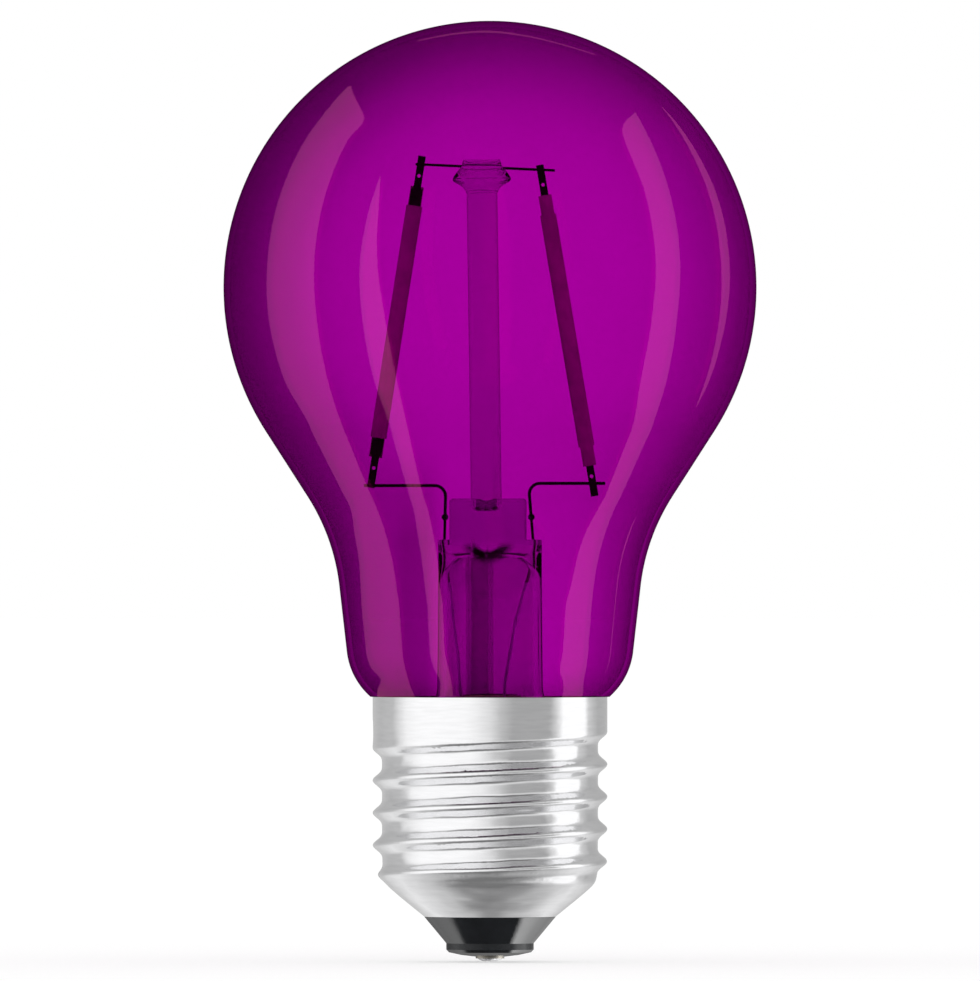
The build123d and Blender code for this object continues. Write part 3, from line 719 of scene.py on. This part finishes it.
# Patches and grains count in each metre, and the grain's depth is in metres
FINISHES = {
    "lead_metal": dict(colours=((0.10, 0.08, 0.14), (0.17, 0.13, 0.22)), roughness=(0.25, 0.45), patch=400,
                       grain=2500, depth=0.00001, metallic=1.0, stretch=(1, 1, 0.3)),
    "seal_copper": dict(colours=((0.10, 0.05, 0.08), (0.18, 0.08, 0.10)), roughness=(0.3, 0.5), patch=400,
                        grain=2500, depth=0.00001, metallic=1.0, stretch=(1, 1, 0.3)),
    "strip_ceramic": dict(colours=((0.72, 0.72, 0.70), (0.82, 0.82, 0.80)), roughness=(0.45, 0.65),
                          patch=500, grain=5000, depth=0.00001),
    "diode": dict(colours=((0.06, 0.08, 0.18), (0.14, 0.15, 0.24)), roughness=(0.15, 0.3), patch=900,
                  grain=4000, depth=0.000005),
    "phosphor": dict(colours=((0.40, 0.25, 0.28), (0.50, 0.33, 0.35)), roughness=(0.35, 0.6), patch=500,
                     grain=3500, depth=0.00004),
    "terminal_metal": dict(colours=((0.18, 0.16, 0.22), (0.30, 0.27, 0.34)), roughness=(0.25, 0.45),
                           patch=600, grain=3000, depth=0.00001, metallic=1.0),
    "insulator_glass": dict(colours=((0.012, 0.014, 0.017), (0.020, 0.023, 0.027)), roughness=(0.06, 0.14),
                            patch=250, grain=600, depth=0.00002, IOR=1.75),
    "contact_brass": dict(colours=((0.62, 0.58, 0.50), (0.74, 0.70, 0.62)), roughness=(0.2, 0.4), patch=700,
                          grain=4000, depth=0.00001, metallic=1.0),
    "solder": dict(colours=((0.62, 0.62, 0.64), (0.80, 0.80, 0.81)), roughness=(0.2, 0.45), patch=900,
                   grain=1400, depth=0.00008, metallic=1.0),
    "cement": dict(colours=((0.52, 0.46, 0.38), (0.66, 0.61, 0.53)), roughness=(0.8, 0.95), patch=300,
                   grain=2500, depth=0.0001),
    "board": dict(colours=((0.03, 0.15, 0.06), (0.06, 0.23, 0.09)), roughness=(0.3, 0.5), patch=150,
                  grain=1800, depth=0.00003),
    "black_moulding": dict(colours=((0.015, 0.015, 0.016), (0.035, 0.035, 0.036)), roughness=(0.45, 0.65),
                           patch=800, grain=4500, depth=0.00002),
    "capacitor_sleeve": dict(colours=((0.015, 0.015, 0.04), (0.03, 0.03, 0.06)), roughness=(0.25, 0.4),
                             patch=300, grain=2500, depth=0.00001),
    "resistor_body": dict(colours=((0.34, 0.45, 0.40), (0.44, 0.55, 0.49)), roughness=(0.4, 0.6), patch=500,
                          grain=2500, depth=0.00003),
    "outer_lead_metal": dict(colours=((0.50, 0.34, 0.58), (0.72, 0.50, 0.80)), roughness=(0.25, 0.45),
                             patch=400, grain=2500, depth=0.00001, metallic=1.0, stretch=(1, 1, 0.3)),
}

materials = {name: worked(name, **finish) for name, finish in FINISHES.items()}
materials["tinted_glass"] = tinted_glass()
materials["stem_glass"] = stem_glass("stem_glass", STEM_TONES, STEM_HOLE)
materials["cap_metal"] = cap_metal()
for node in nodes.values():
    for slot in node.material_slots:
        slot.material = materials[slot.material.name.split(".")[0]]
nodes["stem_post"].material_slots[0].material = stem_glass("post_glass", POST_TONES)
nodes["exhaust_tube"].material_slots[0].material = stem_glass("tube_glass", TUBE_TONES)
for name in ("outer_lead_left", "outer_lead_right"):
    nodes[name].material_slots[0].material = materials["outer_lead_metal"]

glass = bulb_glass(materials["tinted_glass"], clear_glass())
glassware = group("glassware", [glass])
metalwork = group("metalwork", [nodes["screw_shell"]])
cap_end = group("cap_end", [nodes[name] for name in ("insulator", "centre_contact", "contact_solder")])

studio_world()
studio_floor()
for name, rows in BANDS.items():
    light_band(name, [(slope, left, slope, right) for slope, left, right in rows], band_radiance, glassware)
light_band("top_arc", TOP_ARC, arc_radiance, glassware)
surround("cap_surround", CAP_SURROUND, metalwork)
surround("end_surround", END_SURROUND, cap_end)

camera = bpy.data.cameras.new("photo_view")
camera.lens = camera.sensor_width * view_distance / view_width
camera.clip_start = 0.1
camera.clip_end = 100
viewer = placed("photo_view", camera)
viewer.location = (0, -view_distance, view_height)
viewer.rotation_euler = (pi / 2, 0, 0)

scene = bpy.context.scene
scene.camera = viewer
scene.view_settings.view_transform = "Standard"
scene.cycles.max_bounces = 24
scene.cycles.transmission_bounces = 24
scene.cycles.transparent_max_bounces = 32
